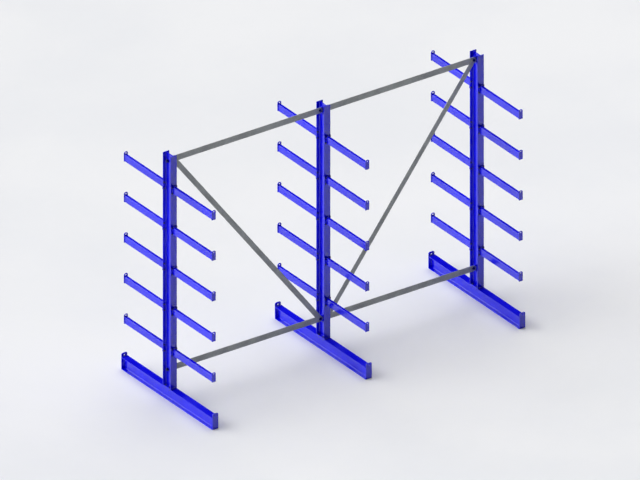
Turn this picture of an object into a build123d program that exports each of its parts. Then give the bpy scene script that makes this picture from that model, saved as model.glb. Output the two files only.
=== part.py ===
from build123d import *

import math
import os

# Double-sided cantilever rack: three I-section columns on I-section bases, five
# arm levels on each face, flat-bar bracing between the columns.
# Millimetres. X runs along the rack, Y is its depth (front is -Y), Z is up.
# The origin is on the floor under the middle column.

# Layout
BAY_PITCH = 2000.0
RACK_HEIGHT = 2960.0
BASE_LENGTH = 1700.0
ARM_TIP_Y = 820.0
ARM_LEVELS = 5
LEVEL_PITCH = 490.0
TOP_RAIL_Z = 2887.0
BOTTOM_RAIL_Z = 369.0
COLUMN_X = {"left": -BAY_PITCH, "middle": 0.0, "right": BAY_PITCH}
FACES = {"front": -1, "rear": 1}

# I-section shared by the columns and the bases
SECTION_WIDTH = 82.0
SECTION_DEPTH = 146.0
FLANGE_THICKNESS = 7.4
WEB_THICKNESS = 5.0
ROOT_RADIUS = 9.0
FLANGE_Y = SECTION_DEPTH / 2

# Base
BASE_STOP_THICKNESS = 8.0
BASE_STOP_WIDTH = 75.0
BASE_STOP_HEIGHT = 190.0
BASE_STOP_RADIUS = 18.0
BASE_STOP_HOLE_Z = 163.0
STOP_HOLE_RADIUS = 8.0
ANCHOR_SPACING_X = 50.0
ANCHOR_SPACING_Y = 1500.0
ANCHOR_HOLE_RADIUS = 7.0

# Column foot
FOOT_THICKNESS = 10.0
FOOT_BOLT_SPACING_X = 54.0
FOOT_BOLT_SPACING_Y = 76.0
COLUMN_BOTTOM_Z = SECTION_DEPTH + FOOT_THICKNESS

# Arm: box tube with a bolted root plate and a raised end stop
ARM_WIDTH = 35.0
ARM_HEIGHT = 80.0
ARM_WALL = 3.0
ARM_CORNER_RADIUS = 5.0
ROOT_PLATE_THICKNESS = 8.0
ROOT_PLATE_HEIGHT = 100.0
ROOT_PLATE_RADIUS = 4.0
ARM_BOLT_SPACING_X = 57.0
ARM_BOLT_SPACING_Z = 74.0
ARM_STOP_THICKNESS = 6.0
ARM_STOP_WIDTH = 50.0
ARM_STOP_RISE = 35.0
ARM_STOP_RADIUS = 20.0
ARM_STOP_HOLE_RISE = 17.0
ROOT_PLATE_Y = FLANGE_Y + ROOT_PLATE_THICKNESS
ARM_STOP_Y = ARM_TIP_Y - ARM_STOP_THICKNESS

# Bracing: round-ended flat bars on angle cleats
NODE_OFFSET_X = 45.0
BAR_THICKNESS = 4.0
RAIL_HEIGHT = 70.0
DIAGONAL_WIDTH = 60.0
CLEAT_THICKNESS = 8.0
CLEAT_FIN_LENGTH = 70.0
CLEAT_LEG_WIDTH = 50.0
CLEAT_LEG_DROP = 56.0
CLEAT_TOP_RISE = 33.0
CLEAT_CORNER_RADIUS = 8.0
CLEAT_BOLT_Y = 30.0
CLEAT_BOLT_DROP = 27.0

# Hexagon fasteners: diameter, width across flats, head height, nut height,
# washer diameter, washer thickness, clearance hole radius
M10 = {"d": 10.0, "flats": 16.0, "head": 6.4, "nut": 8.4, "washer": 20.0, "disc": 2.0, "hole_r": 5.5}
M12 = {"d": 12.0, "flats": 18.0, "head": 7.5, "nut": 10.8, "washer": 24.0, "disc": 2.5, "hole_r": 6.75}
M16 = {"d": 16.0, "flats": 24.0, "head": 10.0, "nut": 14.8, "washer": 30.0, "disc": 3.0, "hole_r": 9.0}
M20 = {"d": 20.0, "flats": 30.0, "head": 12.5, "nut": 18.0, "washer": 37.0, "disc": 3.0, "hole_r": 11.0}
BORE_CLEARANCE = 0.2
THREAD_OVERHANG = 4.0
HEX_CHAMFER = 0.8

os.makedirs("parts", exist_ok=True)


def arm_top_z(level):
    """Height of the loading surface of an arm level; the base top is level 0."""
    return SECTION_DEPTH + LEVEL_PITCH * level


def floor_plane(x, y, z):
    """Plane that faces up: local x along the rack, local y to the rear."""
    return Plane(origin=(x, y, z), x_dir=(1, 0, 0), z_dir=(0, 0, 1))


def face_plane(x, y, z, side):
    """Plane that faces the front (side -1) or the rear (side 1), local y up."""
    return Plane(origin=(x, y, z), x_dir=(-side, 0, 0), z_dir=(0, side, 0))


def web_plane(x, y, z, hand):
    """Plane that faces along the rack, right (hand 1) or left (hand -1), local y up."""
    return Plane(origin=(x, y, z), x_dir=(0, hand, 0), z_dir=(hand, 0, 0))


def export_node(shape, label):
    """Name a finished piece and write it as one node."""
    shape.label = label
    export_step(shape, f"parts/{label}.step")


def export_group(label, solids):
    """Write separate solids that share one node."""
    export_node(Compound(children=solids), label)


def i_beam(plane, length, both):
    """I-section beam extruded from a plane, flange width along local x."""
    recess_width = (SECTION_WIDTH - WEB_THICKNESS) / 2
    recess_depth = SECTION_DEPTH - 2 * FLANGE_THICKNESS
    recess_x = (WEB_THICKNESS + recess_width) / 2
    with BuildPart() as beam:
        with BuildSketch(plane) as section:
            Rectangle(SECTION_WIDTH, SECTION_DEPTH)
            with Locations((recess_x, 0), (-recess_x, 0)):
                Rectangle(recess_width, recess_depth, mode=Mode.SUBTRACT)
            roots = section.vertices().filter_by(lambda v: abs(v.X) < WEB_THICKNESS)
            fillet(roots, ROOT_RADIUS)
        extrude(amount=length, both=both)
    return beam.part


def make_column(x):
    """Upright with arm bolt holes through both flanges and cleat bolt holes in its web."""
    beam = i_beam(floor_plane(x, 0, COLUMN_BOTTOM_Z), RACK_HEIGHT - COLUMN_BOTTOM_Z, False)
    with BuildPart() as column:
        add(beam)
        with BuildSketch(face_plane(x, 0, 0, -1)):
            for level in range(1, ARM_LEVELS + 1):
                with Locations((0, arm_top_z(level) - ARM_HEIGHT / 2)):
                    with GridLocations(ARM_BOLT_SPACING_X, ARM_BOLT_SPACING_Z, 2, 2):
                        Circle(M10["hole_r"])
        extrude(amount=SECTION_DEPTH, both=True, mode=Mode.SUBTRACT)
        with BuildSketch(web_plane(x, 0, 0, 1)):
            for rail_z in (TOP_RAIL_Z, BOTTOM_RAIL_Z):
                with Locations((CLEAT_BOLT_Y, rail_z - CLEAT_BOLT_DROP)):
                    Circle(M20["hole_r"])
        extrude(amount=SECTION_WIDTH, both=True, mode=Mode.SUBTRACT)
    return column.part


def make_base(x):
    """Floor beam with foot bolt holes in its top flange and anchor holes below."""
    beam_half = BASE_LENGTH / 2 - BASE_STOP_THICKNESS
    beam = i_beam(face_plane(x, 0, SECTION_DEPTH / 2, -1), beam_half, True)
    with BuildPart() as base:
        add(beam)
        with BuildSketch(floor_plane(x, 0, SECTION_DEPTH)):
            with GridLocations(FOOT_BOLT_SPACING_X, FOOT_BOLT_SPACING_Y, 2, 2):
                Circle(M12["hole_r"])
        extrude(amount=-2 * FLANGE_THICKNESS, mode=Mode.SUBTRACT)
        with BuildSketch(floor_plane(x, 0, 0)):
            with GridLocations(ANCHOR_SPACING_X, ANCHOR_SPACING_Y, 2, 2):
                Circle(ANCHOR_HOLE_RADIUS)
        extrude(amount=2 * FLANGE_THICKNESS, mode=Mode.SUBTRACT)
    return base.part


def make_base_stop(x, side):
    """End plate of a base, raised above the beam as a load stop."""
    with BuildPart() as stop:
        with BuildSketch(face_plane(x, side * (BASE_LENGTH / 2 - BASE_STOP_THICKNESS), 0, side)) as outline:
            with Locations((0, BASE_STOP_HEIGHT / 2)):
                Rectangle(BASE_STOP_WIDTH, BASE_STOP_HEIGHT)
            fillet(outline.vertices().group_by(Axis.Y)[-1], BASE_STOP_RADIUS)
            with Locations((0, BASE_STOP_HOLE_Z)):
                Circle(STOP_HOLE_RADIUS, mode=Mode.SUBTRACT)
        extrude(amount=BASE_STOP_THICKNESS)
    return stop.part


def make_foot_plate(x):
    """Plate under the column, bolted down to the base's top flange."""
    with BuildPart() as foot:
        with BuildSketch(floor_plane(x, 0, SECTION_DEPTH)):
            Rectangle(SECTION_WIDTH, SECTION_DEPTH)
            with GridLocations(FOOT_BOLT_SPACING_X, FOOT_BOLT_SPACING_Y, 2, 2):
                Circle(M12["hole_r"], mode=Mode.SUBTRACT)
        extrude(amount=FOOT_THICKNESS)
    return foot.part


def make_root_plate(x, side, centre_z):
    """Plate that bolts an arm to the column flange."""
    with BuildPart() as root_plate:
        with BuildSketch(face_plane(x, side * FLANGE_Y, centre_z, side)):
            RectangleRounded(SECTION_WIDTH, ROOT_PLATE_HEIGHT, ROOT_PLATE_RADIUS)
            with GridLocations(ARM_BOLT_SPACING_X, ARM_BOLT_SPACING_Z, 2, 2):
                Circle(M10["hole_r"], mode=Mode.SUBTRACT)
        extrude(amount=ROOT_PLATE_THICKNESS)
    return root_plate.part


def make_arm_tube(x, side, centre_z):
    """Box tube between the root plate and the end stop."""
    inner_radius = ARM_CORNER_RADIUS - ARM_WALL
    with BuildPart() as tube:
        with BuildSketch(face_plane(x, side * ROOT_PLATE_Y, centre_z, side)):
            RectangleRounded(ARM_WIDTH, ARM_HEIGHT, ARM_CORNER_RADIUS)
            RectangleRounded(
                ARM_WIDTH - 2 * ARM_WALL, ARM_HEIGHT - 2 * ARM_WALL, inner_radius, mode=Mode.SUBTRACT
            )
        extrude(amount=ARM_STOP_Y - ROOT_PLATE_Y)
    return tube.part


def make_arm_stop(x, side, centre_z):
    """Plate that closes the tube and rises above it to keep the load on."""
    stop_height = ARM_HEIGHT + ARM_STOP_RISE
    with BuildPart() as stop:
        with BuildSketch(face_plane(x, side * ARM_STOP_Y, centre_z, side)) as outline:
            with Locations((0, ARM_STOP_RISE / 2)):
                Rectangle(ARM_STOP_WIDTH, stop_height)
            fillet(outline.vertices().group_by(Axis.Y)[-1], ARM_STOP_RADIUS)
            with Locations((0, ARM_HEIGHT / 2 + ARM_STOP_HOLE_RISE)):
                Circle(STOP_HOLE_RADIUS, mode=Mode.SUBTRACT)
        extrude(amount=ARM_STOP_THICKNESS)
    return stop.part


def make_bar(start, end, width, front_y):
    """Round-ended flat bar between two bolt centres given as (x, z)."""
    length = math.hypot(end[0] - start[0], end[1] - start[1])
    angle = math.degrees(math.atan2(end[1] - start[1], end[0] - start[0]))
    middle = ((start[0] + end[0]) / 2, (start[1] + end[1]) / 2)
    with BuildPart() as bar:
        with BuildSketch(face_plane(middle[0], front_y + BAR_THICKNESS, middle[1], -1)):
            SlotCenterToCenter(length, width, rotation=angle)
            with Locations((start[0] - middle[0], start[1] - middle[1]), (end[0] - middle[0], end[1] - middle[1])):
                Circle(M16["hole_r"], mode=Mode.SUBTRACT)
        extrude(amount=BAR_THICKNESS)
    return bar.part


def make_cleat(x, rail_z, hand):
    """Angle cleat: one leg on the column web, one fin behind the brace bars."""
    web_x = x + hand * WEB_THICKNESS / 2
    leg_height = CLEAT_TOP_RISE + CLEAT_LEG_DROP
    fin_length = CLEAT_FIN_LENGTH - CLEAT_THICKNESS
    with BuildPart() as cleat:
        with BuildSketch(web_plane(web_x, 0, rail_z, hand)):
            with Locations((hand * CLEAT_LEG_WIDTH / 2, CLEAT_TOP_RISE - leg_height / 2)):
                Rectangle(CLEAT_LEG_WIDTH, leg_height)
            with Locations((hand * CLEAT_BOLT_Y, -CLEAT_BOLT_DROP)):
                Circle(M20["hole_r"], mode=Mode.SUBTRACT)
        extrude(amount=CLEAT_THICKNESS)
        with BuildSketch(face_plane(web_x, CLEAT_THICKNESS, rail_z, -1)):
            with Locations((hand * (CLEAT_THICKNESS + fin_length / 2), 0)):
                Rectangle(fin_length, 2 * CLEAT_TOP_RISE)
            with Locations((x + hand * NODE_OFFSET_X - web_x, 0)):
                Circle(M16["hole_r"], mode=Mode.SUBTRACT)
        extrude(amount=CLEAT_THICKNESS)
        outer_face = cleat.faces().sort_by(Axis.X)[-1 if hand > 0 else 0]
        fillet(outer_face.edges().filter_by(Axis.Y), CLEAT_CORNER_RADIUS)
    return cleat.part


def make_bolt(size, grip):
    """Hexagon bolt on its own axis: head above z = 0, shank below."""
    with BuildPart() as bolt:
        with BuildSketch():
            RegularPolygon(size["flats"] / 2, 6, major_radius=False)
        extrude(amount=size["head"])
        chamfer(bolt.faces().sort_by(Axis.Z)[-1].edges(), HEX_CHAMFER)
        with BuildSketch():
            Circle(size["d"] / 2)
        extrude(amount=-(grip + THREAD_OVERHANG))
        chamfer(bolt.faces().sort_by(Axis.Z)[0].edges(), HEX_CHAMFER)
    return bolt.part


def make_nut(size):
    """Hexagon nut from z = 0 down."""
    with BuildPart() as nut:
        with BuildSketch():
            RegularPolygon(size["flats"] / 2, 6, major_radius=False)
            Circle(size["d"] / 2 + BORE_CLEARANCE, mode=Mode.SUBTRACT)
        extrude(amount=-size["nut"])
        outer_edges = nut.faces().sort_by(Axis.Z)[0].outer_wire().edges()
        chamfer(outer_edges, HEX_CHAMFER)
    return nut.part


def make_washer(size):
    """Plain washer from z = 0 up."""
    with BuildPart() as washer:
        with BuildSketch():
            Circle(size["washer"] / 2)
            Circle(size["d"] / 2 + BORE_CLEARANCE, mode=Mode.SUBTRACT)
        extrude(amount=size["disc"])
    return washer.part


def make_fastener_set(size, clamped):
    """Bolt, two washers and nut for a joint whose front face is z = 0."""
    grip = size["disc"] + clamped + size["disc"] + size["nut"]
    nut_z = -(clamped + size["disc"])
    return {
        "bolt": make_bolt(size, grip).moved(Location((0, 0, size["disc"]))),
        "head_washer": make_washer(size),
        "nut_washer": make_washer(size).moved(Location((0, 0, nut_z))),
        "nut": make_nut(size).moved(Location((0, 0, nut_z))),
    }


def place_all(fastener_set, names, seats):
    """Copies of the named pieces of a fastener set on each seat plane."""
    return [fastener_set[name].moved(Location(seat)) for seat in seats for name in names]


def brace_seats():
    """Front face planes of the brace bolts, keyed by how many bars each one clamps."""
    seats = {1: [], 2: []}
    for rail_z in (TOP_RAIL_Z, BOTTOM_RAIL_Z):
        for bay, bay_x in (("left", -BAY_PITCH), ("right", 0.0)):
            for hand, end_x in ((1, bay_x), (-1, bay_x + BAY_PITCH)):
                at_outer_column = abs(end_x) > 0
                has_diagonal = at_outer_column == (rail_z == TOP_RAIL_Z)
                bars = 2 if has_diagonal else 1
                front_y = -bars * BAR_THICKNESS
                seats[bars].append(face_plane(end_x + hand * NODE_OFFSET_X, front_y, rail_z, -1))
    return seats


# Columns, bases and their plates
for name, x in COLUMN_X.items():
    export_node(make_column(x), f"column_{name}")
    export_node(make_base(x), f"base_{name}")
    export_node(make_foot_plate(x), f"foot_plate_{name}")
    for face, side in FACES.items():
        export_node(make_base_stop(x, side), f"base_stop_{name}_{face}")

# Arms: tube, root plate and stop of a welded arm share its node
for name, x in COLUMN_X.items():
    for face, side in FACES.items():
        for level in range(1, ARM_LEVELS + 1):
            centre_z = arm_top_z(level) - ARM_HEIGHT / 2
            arm_solids = [
                make_arm_tube(x, side, centre_z),
                make_root_plate(x, side, centre_z),
                make_arm_stop(x, side, centre_z),
            ]
            export_group(f"arm_{name}_{face}_{level}", arm_solids)

# Bracing: each diagonal runs from an outer column's top to the middle column's foot
for bay, start_x in (("left", -BAY_PITCH), ("right", 0.0)):
    near_x = start_x + NODE_OFFSET_X
    far_x = start_x + BAY_PITCH - NODE_OFFSET_X
    near_z, far_z = (TOP_RAIL_Z, BOTTOM_RAIL_Z) if bay == "left" else (BOTTOM_RAIL_Z, TOP_RAIL_Z)
    top_rail = make_bar((near_x, TOP_RAIL_Z), (far_x, TOP_RAIL_Z), RAIL_HEIGHT, -BAR_THICKNESS)
    bottom_rail = make_bar((near_x, BOTTOM_RAIL_Z), (far_x, BOTTOM_RAIL_Z), RAIL_HEIGHT, -BAR_THICKNESS)
    diagonal = make_bar((near_x, near_z), (far_x, far_z), DIAGONAL_WIDTH, -2 * BAR_THICKNESS)
    export_node(top_rail, f"top_rail_{bay}")
    export_node(bottom_rail, f"bottom_rail_{bay}")
    export_node(diagonal, f"diagonal_{bay}")

# Cleats: one on each web side that meets a bay
for name, x in COLUMN_X.items():
    hands = [hand for hand in (-1, 1) if abs(x + hand * BAY_PITCH) <= BAY_PITCH]
    cleats = [make_cleat(x, rail_z, hand) for rail_z in (TOP_RAIL_Z, BOTTOM_RAIL_Z) for hand in hands]
    export_group(f"brace_cleats_{name}", cleats)

# Arm bolts: four to an arm, heads on the root plate, nuts behind the column flange
arm_seats = []
for x in COLUMN_X.values():
    for side in FACES.values():
        for level in range(1, ARM_LEVELS + 1):
            centre_z = arm_top_z(level) - ARM_HEIGHT / 2
            for dx in (-ARM_BOLT_SPACING_X / 2, ARM_BOLT_SPACING_X / 2):
                for dz in (-ARM_BOLT_SPACING_Z / 2, ARM_BOLT_SPACING_Z / 2):
                    arm_seats.append(face_plane(x + dx, side * ROOT_PLATE_Y, centre_z + dz, side))
arm_fasteners = make_fastener_set(M10, ROOT_PLATE_THICKNESS + FLANGE_THICKNESS)
export_group("arm_bolts", place_all(arm_fasteners, ["bolt"], arm_seats))
export_group("arm_washers", place_all(arm_fasteners, ["head_washer", "nut_washer"], arm_seats))
export_group("arm_nuts", place_all(arm_fasteners, ["nut"], arm_seats))

# Foot bolts: four under each column, heads in its recesses, nuts under the base's top flange
foot_seats = []
for x in COLUMN_X.values():
    for dx in (-FOOT_BOLT_SPACING_X / 2, FOOT_BOLT_SPACING_X / 2):
        for dy in (-FOOT_BOLT_SPACING_Y / 2, FOOT_BOLT_SPACING_Y / 2):
            foot_seats.append(floor_plane(x + dx, dy, COLUMN_BOTTOM_Z))
foot_fasteners = make_fastener_set(M12, FOOT_THICKNESS + FLANGE_THICKNESS)
export_group("foot_fasteners", place_all(foot_fasteners, foot_fasteners, foot_seats))

# Brace bolts: one through each cleat fin and the bars that meet there
brace_solids = []
for bars, seats in brace_seats().items():
    brace_fasteners = make_fastener_set(M16, bars * BAR_THICKNESS + CLEAT_THICKNESS)
    brace_solids += place_all(brace_fasteners, brace_fasteners, seats)
export_group("brace_fasteners", brace_solids)

# Cleat bolts: one through each column web and the cleats on it
cleat_solids = []
for x in COLUMN_X.values():
    hands = [hand for hand in (-1, 1) if abs(x + hand * BAY_PITCH) <= BAY_PITCH]
    clamped = WEB_THICKNESS + len(hands) * CLEAT_THICKNESS
    cleat_fasteners = make_fastener_set(M20, clamped)
    head_hand = hands[-1]
    head_x = x + head_hand * (WEB_THICKNESS / 2 + CLEAT_THICKNESS)
    bolt_heights = [rail_z - CLEAT_BOLT_DROP for rail_z in (TOP_RAIL_Z, BOTTOM_RAIL_Z)]
    seats = [web_plane(head_x, CLEAT_BOLT_Y, bolt_z, head_hand) for bolt_z in bolt_heights]
    cleat_solids += place_all(cleat_fasteners, cleat_fasteners, seats)
export_group("cleat_fasteners", cleat_solids)
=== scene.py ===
"""Looks for a double-sided cantilever rack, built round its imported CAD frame.

Each finish is a frozen dataclass that makes one material out of shared effects.
Each sub-assembly is a dataclass that holds its sizes, builds the details that
the frame leaves plain, such as its weld beads, and dresses its own CAD nodes.
"""

import logging
import math
from dataclasses import dataclass
from enum import Enum
from typing import Any

import bmesh
import bpy
from mathutils import Matrix, Vector


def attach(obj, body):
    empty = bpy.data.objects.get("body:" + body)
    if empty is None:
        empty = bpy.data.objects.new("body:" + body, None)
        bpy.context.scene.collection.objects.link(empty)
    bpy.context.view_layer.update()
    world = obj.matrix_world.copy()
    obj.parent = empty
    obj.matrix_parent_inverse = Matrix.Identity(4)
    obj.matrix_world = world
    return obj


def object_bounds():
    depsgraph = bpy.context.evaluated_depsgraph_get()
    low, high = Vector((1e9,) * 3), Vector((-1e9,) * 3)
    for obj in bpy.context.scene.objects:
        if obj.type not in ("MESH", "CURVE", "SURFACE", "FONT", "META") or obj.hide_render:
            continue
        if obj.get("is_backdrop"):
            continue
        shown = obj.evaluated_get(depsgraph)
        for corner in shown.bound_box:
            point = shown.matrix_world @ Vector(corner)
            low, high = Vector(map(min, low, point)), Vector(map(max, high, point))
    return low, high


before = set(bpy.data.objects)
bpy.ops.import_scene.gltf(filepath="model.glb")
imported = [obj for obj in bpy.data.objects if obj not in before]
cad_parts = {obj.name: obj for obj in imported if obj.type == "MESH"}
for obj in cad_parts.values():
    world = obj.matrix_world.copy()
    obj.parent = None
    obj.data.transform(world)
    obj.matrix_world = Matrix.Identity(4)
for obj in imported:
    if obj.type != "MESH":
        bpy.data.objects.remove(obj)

LOG = logging.getLogger("cantilever_rack")
NUMBER_SOCKET = "NodeSocketFloat"
QUARTER_TURN = math.pi / 2
MIX_COLOURS = (6, 7)
MIX_RESULT = 2
MIX_NUMBERS = (2, 3)
MOTTLE_COLOUR = (0.35, 0.65)
MOTTLE_GLOSS = (0.3, 0.7)
Colour = tuple[float, float, float]
Socket = bpy.types.NodeSocket


class Slot(Enum):
    """The record's material slots."""

    BLUE = "blue_paint"
    GREY = "grey_steel"
    DARK = "dark_fasteners"


class Column(Enum):
    """The three columns and where each stands along the rack."""

    LEFT = -2.0
    MIDDLE = 0.0
    RIGHT = 2.0

    @property
    def word(self) -> str:
        """The word for this column in the names of nodes and pieces."""
        return self.name.lower()


class Face(Enum):
    """The two loading faces of the rack, as signs of Y."""

    FRONT = -1
    REAR = 1

    @property
    def word(self) -> str:
        """The word for this face in the names of nodes and pieces."""
        return self.name.lower()


# ---------------------------------------------------------------- node graphs


class Graph:
    """A node tree with short calls to add nodes and join them."""

    def __init__(self, tree: bpy.types.NodeTree) -> None:
        """Takes the tree that the nodes go into."""
        self.tree = tree

    def add(
        self, kind: str, inputs: dict[Any, Any] | None = None, **settings: Any
    ) -> bpy.types.Node:
        """Adds one node.

        Args:
            kind: the node's type, without its ShaderNode prefix.
            inputs: values or sockets for its inputs, by name or number.
            settings: attributes of the node itself.

        Returns:
            The new node.
        """
        node = self.tree.nodes.new("ShaderNode" + kind)
        for name, value in settings.items():
            setattr(node, name, value)
        for key, value in (inputs or {}).items():
            self.feed(node.inputs[key], value)
        return node

    def feed(self, target: Socket, value: Any) -> None:
        """Joins a socket to the target, or sets the target to a plain value.

        Args:
            target: the input to feed.
            value: the socket or the value that it gets.
        """
        if isinstance(value, Socket):
            self.tree.links.new(value, target)
        else:
            target.default_value = value

    def maths(self, operation: str, *terms: Any, clamp: bool = False) -> Socket:
        """Adds a Math node.

        Args:
            operation: the node's operation, such as MULTIPLY.
            terms: its inputs, in order, as values or sockets.
            clamp: whether the result stays within 0 and 1.

        Returns:
            The result's socket.
        """
        node = self.add("Math", dict(enumerate(terms)), operation=operation, use_clamp=clamp)
        return node.outputs[0]

    def ramp(
        self, value: Any, low: float, high: float, start: Any = 0.0, end: Any = 1.0
    ) -> Socket:
        """Maps a value smoothly from one range to another.

        Args:
            value: the socket to map.
            low: the value that gives start.
            high: the value that gives end.
            start: the result at low and below.
            end: the result at high and above.

        Returns:
            The result's socket.
        """
        node = self.add(
            "MapRange",
            {0: value, 1: low, 2: high, 3: start, 4: end},
            interpolation_type="SMOOTHSTEP",
        )
        return node.outputs[0]

    def noise(self, place: Any, scale: Any, detail: float = 3.0, rough: float = 0.5) -> Socket:
        """Adds a Noise Texture.

        Args:
            place: the socket that gives where on the object the surface is.
            scale: how many features there are in a metre.
            detail: how many finer layers are added.
            rough: how strong the finer layers are.

        Returns:
            The socket of the noise's value.
        """
        node = self.add(
            "TexNoise", {"Vector": place, "Scale": scale, "Detail": detail, "Roughness": rough}
        )
        return node.outputs["Fac"]

    def mix(self, share: Any, first: Any, second: Any) -> Socket:
        """Mixes two colours.

        Args:
            share: how much of the second there is.
            first: the first colour, or its socket.
            second: the second colour, or its socket.

        Returns:
            The result's socket.
        """
        node = self.add("Mix", {0: share}, data_type="RGBA")
        for number, colour in zip(MIX_COLOURS, (first, second)):
            self.feed(node.inputs[number], colour if isinstance(colour, Socket) else (*colour, 1.0))
        return node.outputs[MIX_RESULT]

    def blend(self, share: Any, first: Any, second: Any) -> Socket:
        """Mixes two numbers, and returns the result's socket. See mix."""
        low, high = MIX_NUMBERS
        return self.add("Mix", {0: share, low: first, high: second}).outputs[0]


class Effect:
    """A surface effect that is one shader node group, shared by the materials."""

    title: str = ""
    takes: dict[str, float] = {}
    gives: tuple[str, ...] = ()

    def wire(self, graph: Graph, given: Any, result: Any) -> None:
        """Adds the group's own nodes.

        Args:
            graph: the group's graph.
            given: the outputs of the Group Input node.
            result: the inputs of the Group Output node.
        """
        raise NotImplementedError

    def group(self) -> bpy.types.NodeTree:
        """Builds the group the first time and finds it again after that.

        Returns:
            The node group.
        """
        found = bpy.data.node_groups.get(self.title)
        if found is not None:
            return found
        tree = bpy.data.node_groups.new(self.title, "ShaderNodeTree")
        for name, value in self.takes.items():
            socket = tree.interface.new_socket(name, in_out="INPUT", socket_type=NUMBER_SOCKET)
            socket.default_value = value
        for name in self.gives:
            tree.interface.new_socket(name, in_out="OUTPUT", socket_type=NUMBER_SOCKET)
        start = tree.nodes.new("NodeGroupInput")
        end = tree.nodes.new("NodeGroupOutput")
        self.wire(Graph(tree), start.outputs, end.inputs)
        return tree

    def place(self, graph: Graph, **values: Any) -> bpy.types.Node:
        """Adds the group to a material.

        Args:
            graph: the material's graph.
            values: values or sockets for the group's inputs.

        Returns:
            The group's node.
        """
        node = graph.tree.nodes.new("ShaderNodeGroup")
        node.node_tree = self.group()
        for name, value in values.items():
            graph.feed(node.inputs[name.capitalize()], value)
        return node


class Mottle(Effect):
    """Slow and fast unevenness of a coat, as a value round a half."""

    title = "coat_mottle"
    takes = {"Slow": 3.0, "Fast": 45.0, "Share": 0.35}
    gives = ("Value",)

    def wire(self, graph: Graph, given: Any, result: Any) -> None:
        """Mixes a slow noise with a fast one. See Effect.wire."""
        place = graph.add("TexCoord").outputs["Object"]
        slow = graph.noise(place, given["Slow"], 3.0)
        fast = graph.noise(place, given["Fast"], 4.0, 0.6)
        graph.feed(result["Value"], graph.blend(given["Share"], slow, fast))


class EdgeMasks(Effect):
    """Masks of the edges: the rim, and the rim broken up by noise. They give worn edges on the
    enamel and painted highlights on the steel bars and the fasteners.
    """

    title = "edge_masks"
    takes = {
        "Width": 0.002,
        "Amount": 0.5,
        "Scale": 30.0,
    }
    gives = ("Mask", "Rim")
    flat_match = 0.995
    edge_match = 0.85
    patch_limit = 0.86
    amount_effect = 0.4
    patch_softness = 0.05

    def wire(self, graph: Graph, given: Any, result: Any) -> None:
        """Compares the rounded normal with the true one. See Effect.wire."""
        place = graph.add("TexCoord").outputs["Object"]
        soft = graph.add("Bevel", {"Radius": given["Width"]}, samples=4).outputs[0]
        true = graph.add("NewGeometry").outputs["True Normal"]
        same = graph.add("VectorMath", {0: soft, 1: true}, operation="DOT_PRODUCT").outputs["Value"]
        rim = graph.ramp(same, self.flat_match, self.edge_match)
        patches = graph.noise(place, given["Scale"], 5.0, 0.65)
        lowered = graph.maths("MULTIPLY", given["Amount"], self.amount_effect)
        limit = graph.maths("SUBTRACT", self.patch_limit, lowered)
        over = graph.maths("SUBTRACT", patches, limit)
        broken = graph.ramp(over, 0.0, self.patch_softness)
        mask = graph.maths("MULTIPLY", rim, broken, clamp=True)
        graph.feed(result["Mask"], mask)
        graph.feed(result["Rim"], rim)


class Dust(Effect):
    """Fine dust that settles on whatever faces up, as a mask."""

    title = "settled_dust"
    takes = {"Amount": 0.3, "Scale": 12.0}
    gives = ("Mask",)
    steep_up, level_up = 0.3, 0.95
    thin_patch, thick_patch = 0.35, 0.75

    def wire(self, graph: Graph, given: Any, result: Any) -> None:
        """Keeps the patches of noise that lie on upward faces. See Effect.wire."""
        place = graph.add("TexCoord").outputs["Object"]
        normal = graph.add("NewGeometry").outputs["Normal"]
        up = graph.add("SeparateXYZ", {0: normal}).outputs["Z"]
        facing = graph.ramp(up, self.steep_up, self.level_up)
        cloud = graph.noise(place, given["Scale"], 6.0, 0.7)
        patches = graph.ramp(cloud, self.thin_patch, self.thick_patch)
        both = graph.maths("MULTIPLY", facing, patches)
        mask = graph.maths("MULTIPLY", both, given["Amount"], clamp=True)
        graph.feed(result["Mask"], mask)


class Scuffs(Effect):
    """Thin rubbed lines along one axis, as a mask."""

    title = "rubbed_scuffs"
    takes = {"Along": 2.0, "Across": 160.0, "Amount": 0.3}
    gives = ("Mask",)
    crest_start, crest_full = 0.62, 0.74
    area_scale = 5.0
    area_start, area_full = 0.5, 0.7

    def wire(self, graph: Graph, given: Any, result: Any) -> None:
        """Stretches a noise along Y and keeps its crests. See Effect.wire."""
        place = graph.add("TexCoord").outputs["Object"]
        scale = graph.add("CombineXYZ", {0: given["Across"], 1: given["Along"], 2: given["Across"]})
        lines = graph.add(
            "VectorMath", {0: place, 1: scale.outputs[0]}, operation="MULTIPLY"
        ).outputs[0]
        crest = graph.ramp(graph.noise(lines, 1.0, 2.0), self.crest_start, self.crest_full)
        area = graph.noise(place, self.area_scale, 2.0)
        where = graph.ramp(area, self.area_start, self.area_full)
        both = graph.maths("MULTIPLY", crest, where)
        mask = graph.maths("MULTIPLY", both, given["Amount"], clamp=True)
        graph.feed(result["Mask"], mask)


class Relief(Effect):
    """The fine relief of a surface, as a height for a Bump node."""

    title = "fine_relief"
    takes = {"Waves": 260.0, "Grit": 1400.0, "Share": 0.25}
    gives = ("Height",)

    def wire(self, graph: Graph, given: Any, result: Any) -> None:
        """Adds fine grit to soft waves. See Effect.wire."""
        place = graph.add("TexCoord").outputs["Object"]
        waves = graph.noise(place, given["Waves"], 1.0)
        grit = graph.noise(place, given["Grit"], 2.0)
        graph.feed(result["Height"], graph.blend(given["Share"], waves, grit))


# ------------------------------------------------------------------- finishes


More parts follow.
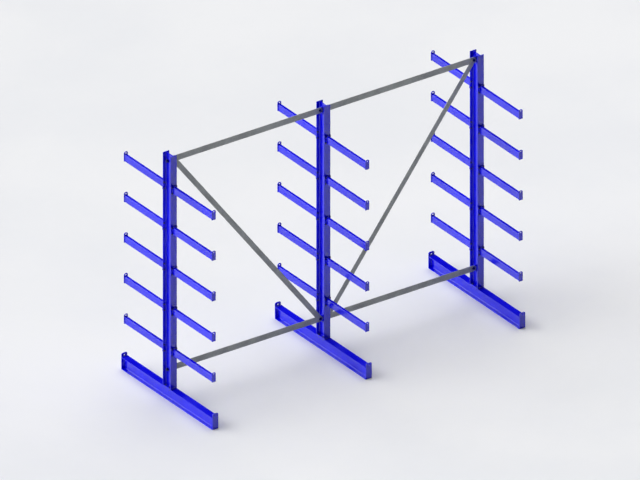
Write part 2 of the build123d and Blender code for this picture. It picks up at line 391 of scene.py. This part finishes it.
class Finish:
    """A finish that is made once and put on any number of meshes."""

    title: str = ""

    def paint(self, graph: Graph, shader: bpy.types.Node) -> None:
        """Joins the finish's own nodes to its shader.

        Args:
            graph: the material's graph.
            shader: its Principled BSDF.
        """
        raise NotImplementedError

    def material(self) -> bpy.types.Material:
        """Makes the material the first time and finds it again after that.

        Returns:
            The material.
        """
        found = bpy.data.materials.get(self.title)
        if found is not None:
            return found
        made = bpy.data.materials.new(self.title)
        made.use_nodes = True
        self.paint(Graph(made.node_tree), made.node_tree.nodes["Principled BSDF"])
        return made

    def dress(self, piece: bpy.types.Object) -> None:
        """Gives a piece this finish and no other."""
        piece.data.materials.clear()
        piece.data.materials.append(self.material())


def set_sockets(graph: Graph, shader: bpy.types.Node, values: dict[str, Any]) -> None:
    """Sets or joins several inputs of a shader.

    Args:
        graph: the material's graph.
        shader: the shader node.
        values: values or sockets, by the input's name.
    """
    for name, value in values.items():
        graph.feed(shader.inputs[name], value)


def bump(graph: Graph, height: Any, distance: float, strength: float) -> Socket:
    """Turns a height into a normal.

    Args:
        graph: the material's graph.
        height: the socket of the height.
        distance: how deep the height is, in metres.
        strength: how much of it shows.

    Returns:
        The normal's socket.
    """
    node = graph.add("Bump", {"Height": height, "Distance": distance, "Strength": strength})
    return node.outputs[0]


@dataclass(frozen=True)
class BlueEnamel(Finish):
    """Glossy blue stoved enamel with a faint orange peel and rubbed edges."""

    deep: Colour = (0.0004, 0.0004, 0.64)
    bright: Colour = (0.0008, 0.0008, 0.80)
    worn: Colour = (0.030, 0.036, 0.40)
    dust: Colour = (0.20, 0.20, 0.34)
    gloss: float = 0.09
    dull: float = 0.18
    index: float = 1.68
    wear_share: float = 0.6
    wear_rough: float = 0.25
    scuff_rough: float = 0.8
    title = "blue_enamel"

    def paint(self, graph: Graph, shader: bpy.types.Node) -> None:
        """Builds the coat from mottle, wear, dust and relief. See Finish.paint."""
        mottle = Mottle().place(graph, slow=2.2, fast=38.0, share=0.35).outputs["Value"]
        rim_masks = EdgeMasks().place(graph, width=0.0016, amount=0.30, scale=34.0).outputs
        dust = Dust().place(graph, amount=0.02, scale=9.0).outputs["Mask"]
        scuffs = Scuffs().place(graph, along=2.5, across=170.0, amount=0.10).outputs["Mask"]
        relief = Relief().place(graph, waves=240.0, grit=1300.0, share=0.2).outputs["Height"]
        colour = graph.mix(graph.ramp(mottle, *MOTTLE_COLOUR), self.deep, self.bright)
        colour = graph.mix(scuffs, colour, self.worn)
        colour = graph.mix(
            graph.maths("MULTIPLY", rim_masks["Mask"], self.wear_share), colour, self.worn
        )
        colour = graph.mix(dust, colour, self.dust)
        rough = graph.ramp(mottle, *MOTTLE_GLOSS, self.gloss, self.dull)
        worn_rough = graph.maths("MULTIPLY", rim_masks["Mask"], self.wear_rough)
        rubbed_rough = graph.maths("MULTIPLY", scuffs, self.scuff_rough)
        rough = graph.maths("ADD", rough, worn_rough)
        rough = graph.maths("ADD", rough, rubbed_rough, clamp=True)
        set_sockets(graph, shader, {
            "Base Color": colour,
            "Roughness": rough,
            "IOR": self.index,
            "Normal": bump(graph, relief, 0.0004, 0.25),
        })


@dataclass(frozen=True)
class MillSteel(Finish):
    """Flat-rolled grey steel bar, dull, with a cloudy bloom, stains and a painted highlight along
    every edge.
    """

    dark: Colour = (0.26, 0.275, 0.27)
    light: Colour = (0.40, 0.42, 0.41)
    # the colour of the painted highlight along the edges
    edge_highlight: Colour = (0.52, 0.54, 0.53)
    stain: Colour = (0.15, 0.14, 0.125)
    smooth: float = 0.38
    rough: float = 0.60
    metal: float = 0.25
    stain_share: float = 0.35
    rim_share: float = 0.35
    title = "mill_steel"

    def paint(self, graph: Graph, shader: bpy.types.Node) -> None:
        """Builds the steel from mottle, stains and a painted edge highlight. See Finish.paint."""
        mottle = Mottle().place(graph, slow=6.0, fast=90.0, share=0.45).outputs["Value"]
        stains = Mottle().place(graph, slow=1.6, fast=24.0, share=0.5).outputs["Value"]
        rim_masks = EdgeMasks().place(graph, width=0.0018, amount=0.8, scale=50.0).outputs
        relief = Relief().place(graph, waves=420.0, grit=2200.0, share=0.5).outputs["Height"]
        colour = graph.mix(graph.ramp(mottle, *MOTTLE_COLOUR), self.dark, self.light)
        spots = graph.ramp(stains, 0.60, 0.78, 0.0, self.stain_share)
        colour = graph.mix(spots, colour, self.stain)
        # painted highlight: every edge is lightened along its whole rim, standing in for light
        # caught on the edges
        edge_highlights = graph.maths("MULTIPLY", rim_masks["Rim"], self.rim_share)
        colour = graph.mix(edge_highlights, colour, self.edge_highlight)
        rough = graph.ramp(mottle, *MOTTLE_GLOSS, self.smooth, self.rough)
        set_sockets(graph, shader, {
            "Base Color": colour,
            "Roughness": rough,
            "Metallic": self.metal,
            "Normal": bump(graph, relief, 0.0002, 0.3),
        })


@dataclass(frozen=True)
class BlackOxide(Finish):
    """Blackened fasteners with a deep blue cast, an oily sheen and a painted highlight on their
    corners.
    """

    dark: Colour = (0.002, 0.002, 0.060)
    light: Colour = (0.005, 0.005, 0.140)
    # the colour of the painted highlight on the corners
    bright: Colour = (0.06, 0.06, 0.22)
    sheen: float = 0.28
    dull: float = 0.55
    metal: float = 0.3
    corner_share: float = 0.7
    title = "black_oxide"

    def paint(self, graph: Graph, shader: bpy.types.Node) -> None:
        """Builds the oxide from mottle and a painted highlight on patches of the corners. See
        Finish.paint.
        """
        mottle = Mottle().place(graph, slow=30.0, fast=300.0, share=0.5).outputs["Value"]
        rim_masks = EdgeMasks().place(graph, width=0.0008, amount=0.6, scale=220.0).outputs
        relief = Relief().place(graph, waves=900.0, grit=3500.0, share=0.4).outputs["Height"]
        colour = graph.mix(graph.ramp(mottle, *MOTTLE_COLOUR), self.dark, self.light)
        # painted highlight: patches of the corners are mixed towards the bright blue, standing in
        # for glints
        corners = graph.maths("MULTIPLY", rim_masks["Mask"], self.corner_share)
        colour = graph.mix(corners, colour, self.bright)
        set_sockets(graph, shader, {
            "Base Color": colour,
            "Roughness": graph.ramp(mottle, *MOTTLE_GLOSS, self.sheen, self.dull),
            "Metallic": self.metal,
            "Normal": bump(graph, relief, 0.0001, 0.3),
        })


@dataclass(frozen=True)
class PaleFloor(Finish):
    """A plain pale floor with the faintest unevenness."""

    shade: Colour = (0.770, 0.780, 0.805)
    tint: Colour = (0.810, 0.815, 0.830)
    title = "pale_floor"

    def paint(self, graph: Graph, shader: bpy.types.Node) -> None:
        """Builds the floor's colour from one slow mottle. See Finish.paint."""
        mottle = Mottle().place(graph, slow=0.35, fast=6.0, share=0.1).outputs["Value"]
        colour = graph.mix(graph.ramp(mottle, *MOTTLE_COLOUR), self.shade, self.tint)
        set_sockets(graph, shader, {
            "Base Color": colour,
            "Roughness": graph.ramp(mottle, *MOTTLE_GLOSS, 0.75, 0.85),
            "Specular IOR Level": 0.2,
        })


# ----------------------------------------------------------------- weld beads


class Stamp:
    """A small mesh that is pressed into a larger one, once for each place."""

    def __init__(self, name: str, source: bmesh.types.BMesh) -> None:
        """Keeps a mesh of the source, which is freed."""
        self.mesh = bpy.data.meshes.new(name)
        source.to_mesh(self.mesh)
        source.free()

    def press(self, target: bmesh.types.BMesh, place: Matrix) -> None:
        """Adds the mesh to the target at a place.

        Args:
            target: the larger mesh.
            place: where the small mesh's own frame goes.
        """
        copy = self.mesh.copy()
        copy.transform(place)
        target.from_mesh(copy)
        bpy.data.meshes.remove(copy)

    def drop(self) -> None:
        """Removes the small mesh when it is no longer needed."""
        bpy.data.meshes.remove(self.mesh)


@dataclass(frozen=True)
class WeldBead:
    """A fillet weld bead with the ripples that a welder's pauses leave."""

    leg: float = 0.0045
    sides: int = 6
    pitch: float = 0.006
    ripple: float = 0.10
    ring_steps: int = 12

    def rippled(self, along: float) -> float:
        """How much wider than its mean the bead is at a distance along it."""
        return 1.0 + self.ripple * math.sin(2.0 * math.pi * along / self.pitch)

    def run(self, length: float) -> Stamp:
        """A straight bead along Z, centred on the origin.

        Args:
            length: the bead's length.

        Returns:
            The bead as a stamp.
        """
        mesh = bmesh.new()
        bmesh.ops.create_cone(
            mesh, cap_ends=True, segments=self.sides,
            radius1=self.leg, radius2=self.leg, depth=length,
        )
        runs = [e for e in mesh.edges if abs(e.verts[0].co.z - e.verts[1].co.z) > length / 2]
        cuts = max(1, round(length / self.pitch * 2))
        bmesh.ops.subdivide_edges(mesh, edges=runs, cuts=cuts, use_grid_fill=True)
        for v in mesh.verts:
            factor = self.rippled(v.co.z)
            v.co.x *= factor
            v.co.y *= factor
        return Stamp("weld_run", mesh)

    def ring(self, width: float, height: float, corner: float) -> Stamp:
        """A bead round a tube with rounded corners, in the XZ plane.

        Args:
            width: the tube's size along X.
            height: the tube's size along Z.
            corner: the radius of its corners.

        Returns:
            The bead as a stamp.
        """
        mesh = bmesh.new()
        bmesh.ops.create_circle(mesh, segments=self.sides, radius=self.leg)
        bmesh.ops.translate(mesh, verts=mesh.verts, vec=(corner, 0.0, 0.0))
        half_side = Matrix.Rotation(math.pi / self.sides, 3, "Z")
        upright = Matrix.Rotation(QUARTER_TURN, 3, "X")
        half_step = Matrix.Rotation(math.pi / self.ring_steps, 3, "Z")
        bmesh.ops.rotate(mesh, verts=mesh.verts, matrix=half_side, cent=(corner, 0.0, 0.0))
        bmesh.ops.rotate(mesh, verts=mesh.verts, matrix=upright)
        bmesh.ops.rotate(mesh, verts=mesh.verts, matrix=half_step)
        bmesh.ops.spin(
            mesh, geom=mesh.verts[:] + mesh.edges[:], angle=2.0 * math.pi,
            steps=self.ring_steps, axis=(0.0, 0.0, 1.0), use_merge=True,
        )
        half_x, half_y = width / 2 - corner, height / 2 - corner
        for v in mesh.verts:
            v.co.x += math.copysign(half_x, v.co.x)
            v.co.y += math.copysign(half_y, v.co.y)
        for reach, axis in ((half_x, 0), (half_y, 1)):
            runs = [
                e for e in mesh.edges if abs(e.verts[0].co[axis] - e.verts[1].co[axis]) > reach
            ]
            bmesh.ops.subdivide_edges(
                mesh, edges=runs, cuts=round(2 * reach / self.pitch * 2), use_grid_fill=True
            )
        for v in mesh.verts:
            centre = Vector((
                max(-half_x, min(half_x, v.co.x)), max(-half_y, min(half_y, v.co.y)), 0.0
            ))
            outward = v.co - centre
            flat = Vector((outward.x, outward.y, 0.0)).normalized() * corner
            core = centre + flat
            along = v.co.x + v.co.y if abs(v.co.x) < half_x or abs(v.co.y) < half_y else 0.0
            v.co = core + (v.co - core) * self.rippled(along)
        bmesh.ops.recalc_face_normals(mesh, faces=mesh.faces)
        bmesh.ops.rotate(mesh, verts=mesh.verts, matrix=upright)
        return Stamp("weld_ring", mesh)


def shown(name: str, mesh: bmesh.types.BMesh) -> bpy.types.Object:
    """Makes an object of a mesh and puts it in the scene.

    Args:
        name: the object's name.
        mesh: its mesh, in the frame's own metres, which is freed.

    Returns:
        The new object.
    """
    data = bpy.data.meshes.new(name)
    mesh.to_mesh(data)
    mesh.free()
    made = bpy.data.objects.new(name, data)
    bpy.context.scene.collection.objects.link(made)
    return made


def finished_piece(
    name: str, mesh: bmesh.types.BMesh, finish: Finish
) -> bpy.types.Object:
    """Makes a piece that rides on the rack.

    Args:
        name: the piece's name.
        mesh: its mesh, in the frame's own metres, which is freed.
        finish: its finish.

    Returns:
        The new object.
    """
    piece = shown(name, mesh)
    for polygon in piece.data.polygons:
        polygon.use_smooth = True
    finish.dress(piece)
    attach(piece, "root")
    LOG.info("%s: %d faces", name, len(piece.data.polygons))
    return piece


# --------------------------------------------------------------- sub-assemblies


class SubAssembly:
    """A group of CAD nodes and the details that belong to them."""

    def nodes(self) -> list[str]:
        """The names of its CAD nodes."""
        raise NotImplementedError

    def finish(self) -> Finish:
        """The finish of its CAD nodes."""
        return BlueEnamel()

    def details(self) -> None:
        """Builds the details that the CAD nodes leave plain."""

    def build(self) -> None:
        """Dresses the CAD nodes and builds the details."""
        for name in self.nodes():
            self.finish().dress(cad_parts[name])
        LOG.info("%s: %d nodes dressed", type(self).__name__, len(self.nodes()))
        self.details()


@dataclass
class Uprights(SubAssembly):
    """The columns, their foot plates and the bases under them."""

    section_depth: float = 0.146
    section_width: float = 0.082
    foot_top: float = 0.156
    web: float = 0.005
    flange: float = 0.0074
    base_half: float = 0.842
    root_radius: float = 0.009
    flange_weld_margin: float = 0.004
    end_weld: float = 0.071
    bead: WeldBead = WeldBead(leg=0.005)

    def nodes(self) -> list[str]:
        """The names of its CAD nodes."""
        names = [f"{part}_{c.word}" for c in Column for part in ("column", "base", "foot_plate")]
        return names + [f"base_stop_{c.word}_{f.word}" for c in Column for f in Face]

    def details(self) -> None:
        """Welds each column to its foot plate and each base to its end plates."""
        web_run = self.bead.run(self.section_depth - 2 * (self.flange + self.root_radius))
        flange_run = self.bead.run(self.section_width - self.flange_weld_margin)
        end_run = self.bead.run(self.end_weld)
        along_x = Matrix.Rotation(QUARTER_TURN, 4, "Y")
        along_y = Matrix.Rotation(QUARTER_TURN, 4, "X")
        for column in Column:
            mesh = bmesh.new()
            for side in (-1, 1):
                edge = Vector((column.value, side * self.section_depth / 2, self.foot_top))
                flange_run.press(mesh, Matrix.Translation(edge) @ along_x)
                edge = Vector((column.value + side * self.web / 2, 0.0, self.foot_top))
                web_run.press(mesh, Matrix.Translation(edge) @ along_y)
            finished_piece(f"column_foot_weld_{column.word}", mesh, BlueEnamel())
            for face in Face:
                mesh = bmesh.new()
                end = face.value * self.base_half
                for side in (-1, 1):
                    edge = Vector((column.value + side * self.web / 2, end, self.section_depth / 2))
                    web_run.press(mesh, Matrix.Translation(edge))
                top = Vector((column.value, end, self.section_depth))
                end_run.press(mesh, Matrix.Translation(top) @ along_x)
                finished_piece(
                    f"base_end_weld_{column.word}_{face.word}", mesh, BlueEnamel()
                )
        for run in (web_run, flange_run, end_run):
            run.drop()


@dataclass
class Arms(SubAssembly):
    """The thirty arms, each a tube between its root plate and its stop."""

    levels: int = 5
    level_pitch: float = 0.490
    base_top: float = 0.146
    width: float = 0.035
    height: float = 0.080
    corner: float = 0.005
    root_y: float = 0.081
    tip_y: float = 0.814
    bead: WeldBead = WeldBead(leg=0.0035, pitch=0.005)

    def nodes(self) -> list[str]:
        """The names of its CAD nodes."""
        return [
            f"arm_{c.word}_{f.word}_{level}"
            for c in Column for f in Face for level in range(1, self.levels + 1)
        ]

    def details(self) -> None:
        """Welds every tube to its root plate and its stop."""
        ring = self.bead.ring(self.width, self.height, self.corner)
        for column in Column:
            for face in Face:
                mesh = bmesh.new()
                for level in range(1, self.levels + 1):
                    middle = self.base_top + level * self.level_pitch - self.height / 2
                    for reach in (self.root_y, self.tip_y):
                        place = Vector((column.value, face.value * reach, middle))
                        ring.press(mesh, Matrix.Translation(place))
                name = f"arm_welds_{column.word}_{face.word}"
                finished_piece(name, mesh, BlueEnamel())
        ring.drop()


@dataclass
class Bracing(SubAssembly):
    """The grey rails and diagonals."""

    def nodes(self) -> list[str]:
        """The names of its CAD nodes."""
        bars = ("top_rail", "bottom_rail", "diagonal")
        return [f"{bar}_{bay}" for bar in bars for bay in ("left", "right")]

    def finish(self) -> Finish:
        """The finish of its CAD nodes."""
        return MillSteel()


@dataclass
class Cleats(SubAssembly):
    """The angle cleats that carry the bracing on the column webs."""

    def nodes(self) -> list[str]:
        """The names of its CAD nodes."""
        return [f"brace_cleats_{c.word}" for c in Column]


@dataclass
class Fasteners(SubAssembly):
    """All bolts, nuts and washers."""

    def nodes(self) -> list[str]:
        """The names of its CAD nodes."""
        return [
            "arm_bolts", "arm_washers", "arm_nuts",
            "foot_fasteners", "brace_fasteners", "cleat_fasteners",
        ]

    def finish(self) -> Finish:
        """The finish of its CAD nodes."""
        return BlackOxide()


# ------------------------------------------------------------------ the studio


@dataclass
class Studio:
    """The floor, the lamps, the world and the camera."""

    floor_radius: float = 90.0
    ring_sides: int = 96
    wall_radius: float = 80.0
    wall_height: float = 14.0
    wall_shade: Colour = (0.72, 0.73, 0.76)
    glow_towards: Colour = (-0.62, 0.70, 0.35)
    glow_inner: float = 35.0
    glow_outer: float = 65.0
    glow: float = 1.5
    gloom: float = 0.006
    key_towards: Colour = (-0.80, 0.45, 0.40)
    key_level: float = 0.55
    overhead_towards: Colour = (0.35, 0.25, 0.90)
    overhead_level: float = 0.52
    lamp_spread: float = 60.0
    azimuth: float = -35.0
    elevation: float = 28.0
    view_width: float = 6.83
    aim_right: float = -0.0352
    aim_up: float = 1.1536
    distance: float = 20.0
    clip_end: float = 500.0

    def floor(self) -> None:
        """Makes a round floor, wide enough to fill the view."""
        mesh = bmesh.new()
        bmesh.ops.create_circle(
            mesh, cap_ends=True, segments=self.ring_sides, radius=self.floor_radius
        )
        floor = shown("floor", mesh)
        PaleFloor().dress(floor)
        floor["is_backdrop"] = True

    def sun(self, name: str, towards: Colour, strength: float) -> None:
        """Adds a broad, even lamp far away.

        Args:
            name: the lamp's name.
            towards: the direction from the rack to the lamp.
            strength: its irradiance, in units that make a white sheet facing it white.
        """
        lamp = bpy.data.lights.new(name, "SUN")
        lamp.energy = strength * math.pi
        lamp.angle = math.radians(self.lamp_spread)
        holder = bpy.data.objects.new(name, lamp)
        holder.rotation_euler = Vector(towards).to_track_quat("Z", "Y").to_euler()
        bpy.context.scene.collection.objects.link(holder)

    def lamps(self) -> None:
        """Adds the key from the left and the overhead lamp."""
        self.sun("key", self.key_towards, self.key_level)
        self.sun("overhead", self.overhead_towards, self.overhead_level)

    def wall(self) -> None:
        """Makes the pale wall far behind the rack, which lights nothing itself."""
        mesh = bmesh.new()
        bmesh.ops.create_cone(
            mesh, cap_ends=False, segments=self.ring_sides, radius1=self.wall_radius,
            radius2=self.wall_radius, depth=self.wall_height,
        )
        bmesh.ops.translate(mesh, verts=mesh.verts, vec=(0.0, 0.0, self.wall_height / 2))
        wall = shown("wall", mesh)
        coat = bpy.data.materials.new("pale_wall")
        coat.use_nodes = True
        graph = Graph(coat.node_tree)
        rays = graph.add("LightPath").outputs
        seen = graph.maths("ADD", rays["Is Camera Ray"], rays["Is Glossy Ray"])
        seen = graph.maths("ADD", seen, rays["Is Transmission Ray"], clamp=True)
        pale = graph.add("Emission", {"Color": (*self.wall_shade, 1.0), "Strength": 1.0})
        clear = graph.add("BsdfTransparent")
        both = graph.add("MixShader", {0: seen, 1: clear.outputs[0], 2: pale.outputs[0]})
        graph.feed(coat.node_tree.nodes["Material Output"].inputs["Surface"], both.outputs[0])
        wall.data.materials.append(coat)
        wall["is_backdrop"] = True

    def surroundings(self) -> None:
        """Sets the world: a broad soft glow at one side of a dark studio."""
        world = bpy.data.worlds.new("studio")
        world.use_nodes = True
        graph = Graph(world.node_tree)
        place = graph.add("TexCoord").outputs["Generated"]
        middle = Vector(self.glow_towards).normalized()
        near = graph.add(
            "VectorMath", {0: place, 1: middle}, operation="DOT_PRODUCT"
        ).outputs["Value"]
        outer, inner = (math.cos(math.radians(a)) for a in (self.glow_outer, self.glow_inner))
        level = graph.ramp(near, outer, inner, self.gloom, self.glow)
        shade = world.node_tree.nodes["Background"]
        graph.feed(shade.inputs["Color"], (1.0, 1.0, 1.0, 1.0))
        graph.feed(shade.inputs["Strength"], level)
        bpy.context.scene.world = world

    def camera(self) -> None:
        """Sets the parallel camera that looks down on the rack from its left."""
        turn, rise = math.radians(self.azimuth), math.radians(self.elevation)
        level = Vector((math.sin(turn), -math.cos(turn), 0.0)) * math.cos(rise)
        back = level + Vector((0.0, 0.0, math.sin(rise)))
        right = Vector((math.cos(turn), math.sin(turn), 0.0))
        up = back.cross(right)
        lens = bpy.data.cameras.new("camera")
        lens.type = "ORTHO"
        lens.ortho_scale = self.view_width
        lens.clip_end = self.clip_end
        holder = bpy.data.objects.new("camera", lens)
        holder.location = right * self.aim_right + up * self.aim_up + back * self.distance
        holder.rotation_euler = back.to_track_quat("Z", "Y").to_euler()
        bpy.context.scene.collection.objects.link(holder)
        bpy.context.scene.camera = holder

    def build(self) -> None:
        """Builds the whole studio."""
        self.floor()
        self.wall()
        self.lamps()
        self.surroundings()
        self.camera()
        bpy.context.scene.view_settings.view_transform = "Standard"
        LOG.info("studio built")


def corners() -> list[list[float]]:
    """The lowest and highest corner of what shows, as plain numbers."""
    low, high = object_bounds()
    return [list(low), list(high)]


def main() -> None:
    """Builds the studio and the rack."""
    logging.basicConfig(level=logging.INFO, format="%(name)s: %(message)s")
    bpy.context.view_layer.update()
    Studio().build()
    for part in (Uprights(), Arms(), Bracing(), Cleats(), Fasteners()):
        part.build()


if __name__ == "__main__":
    main()
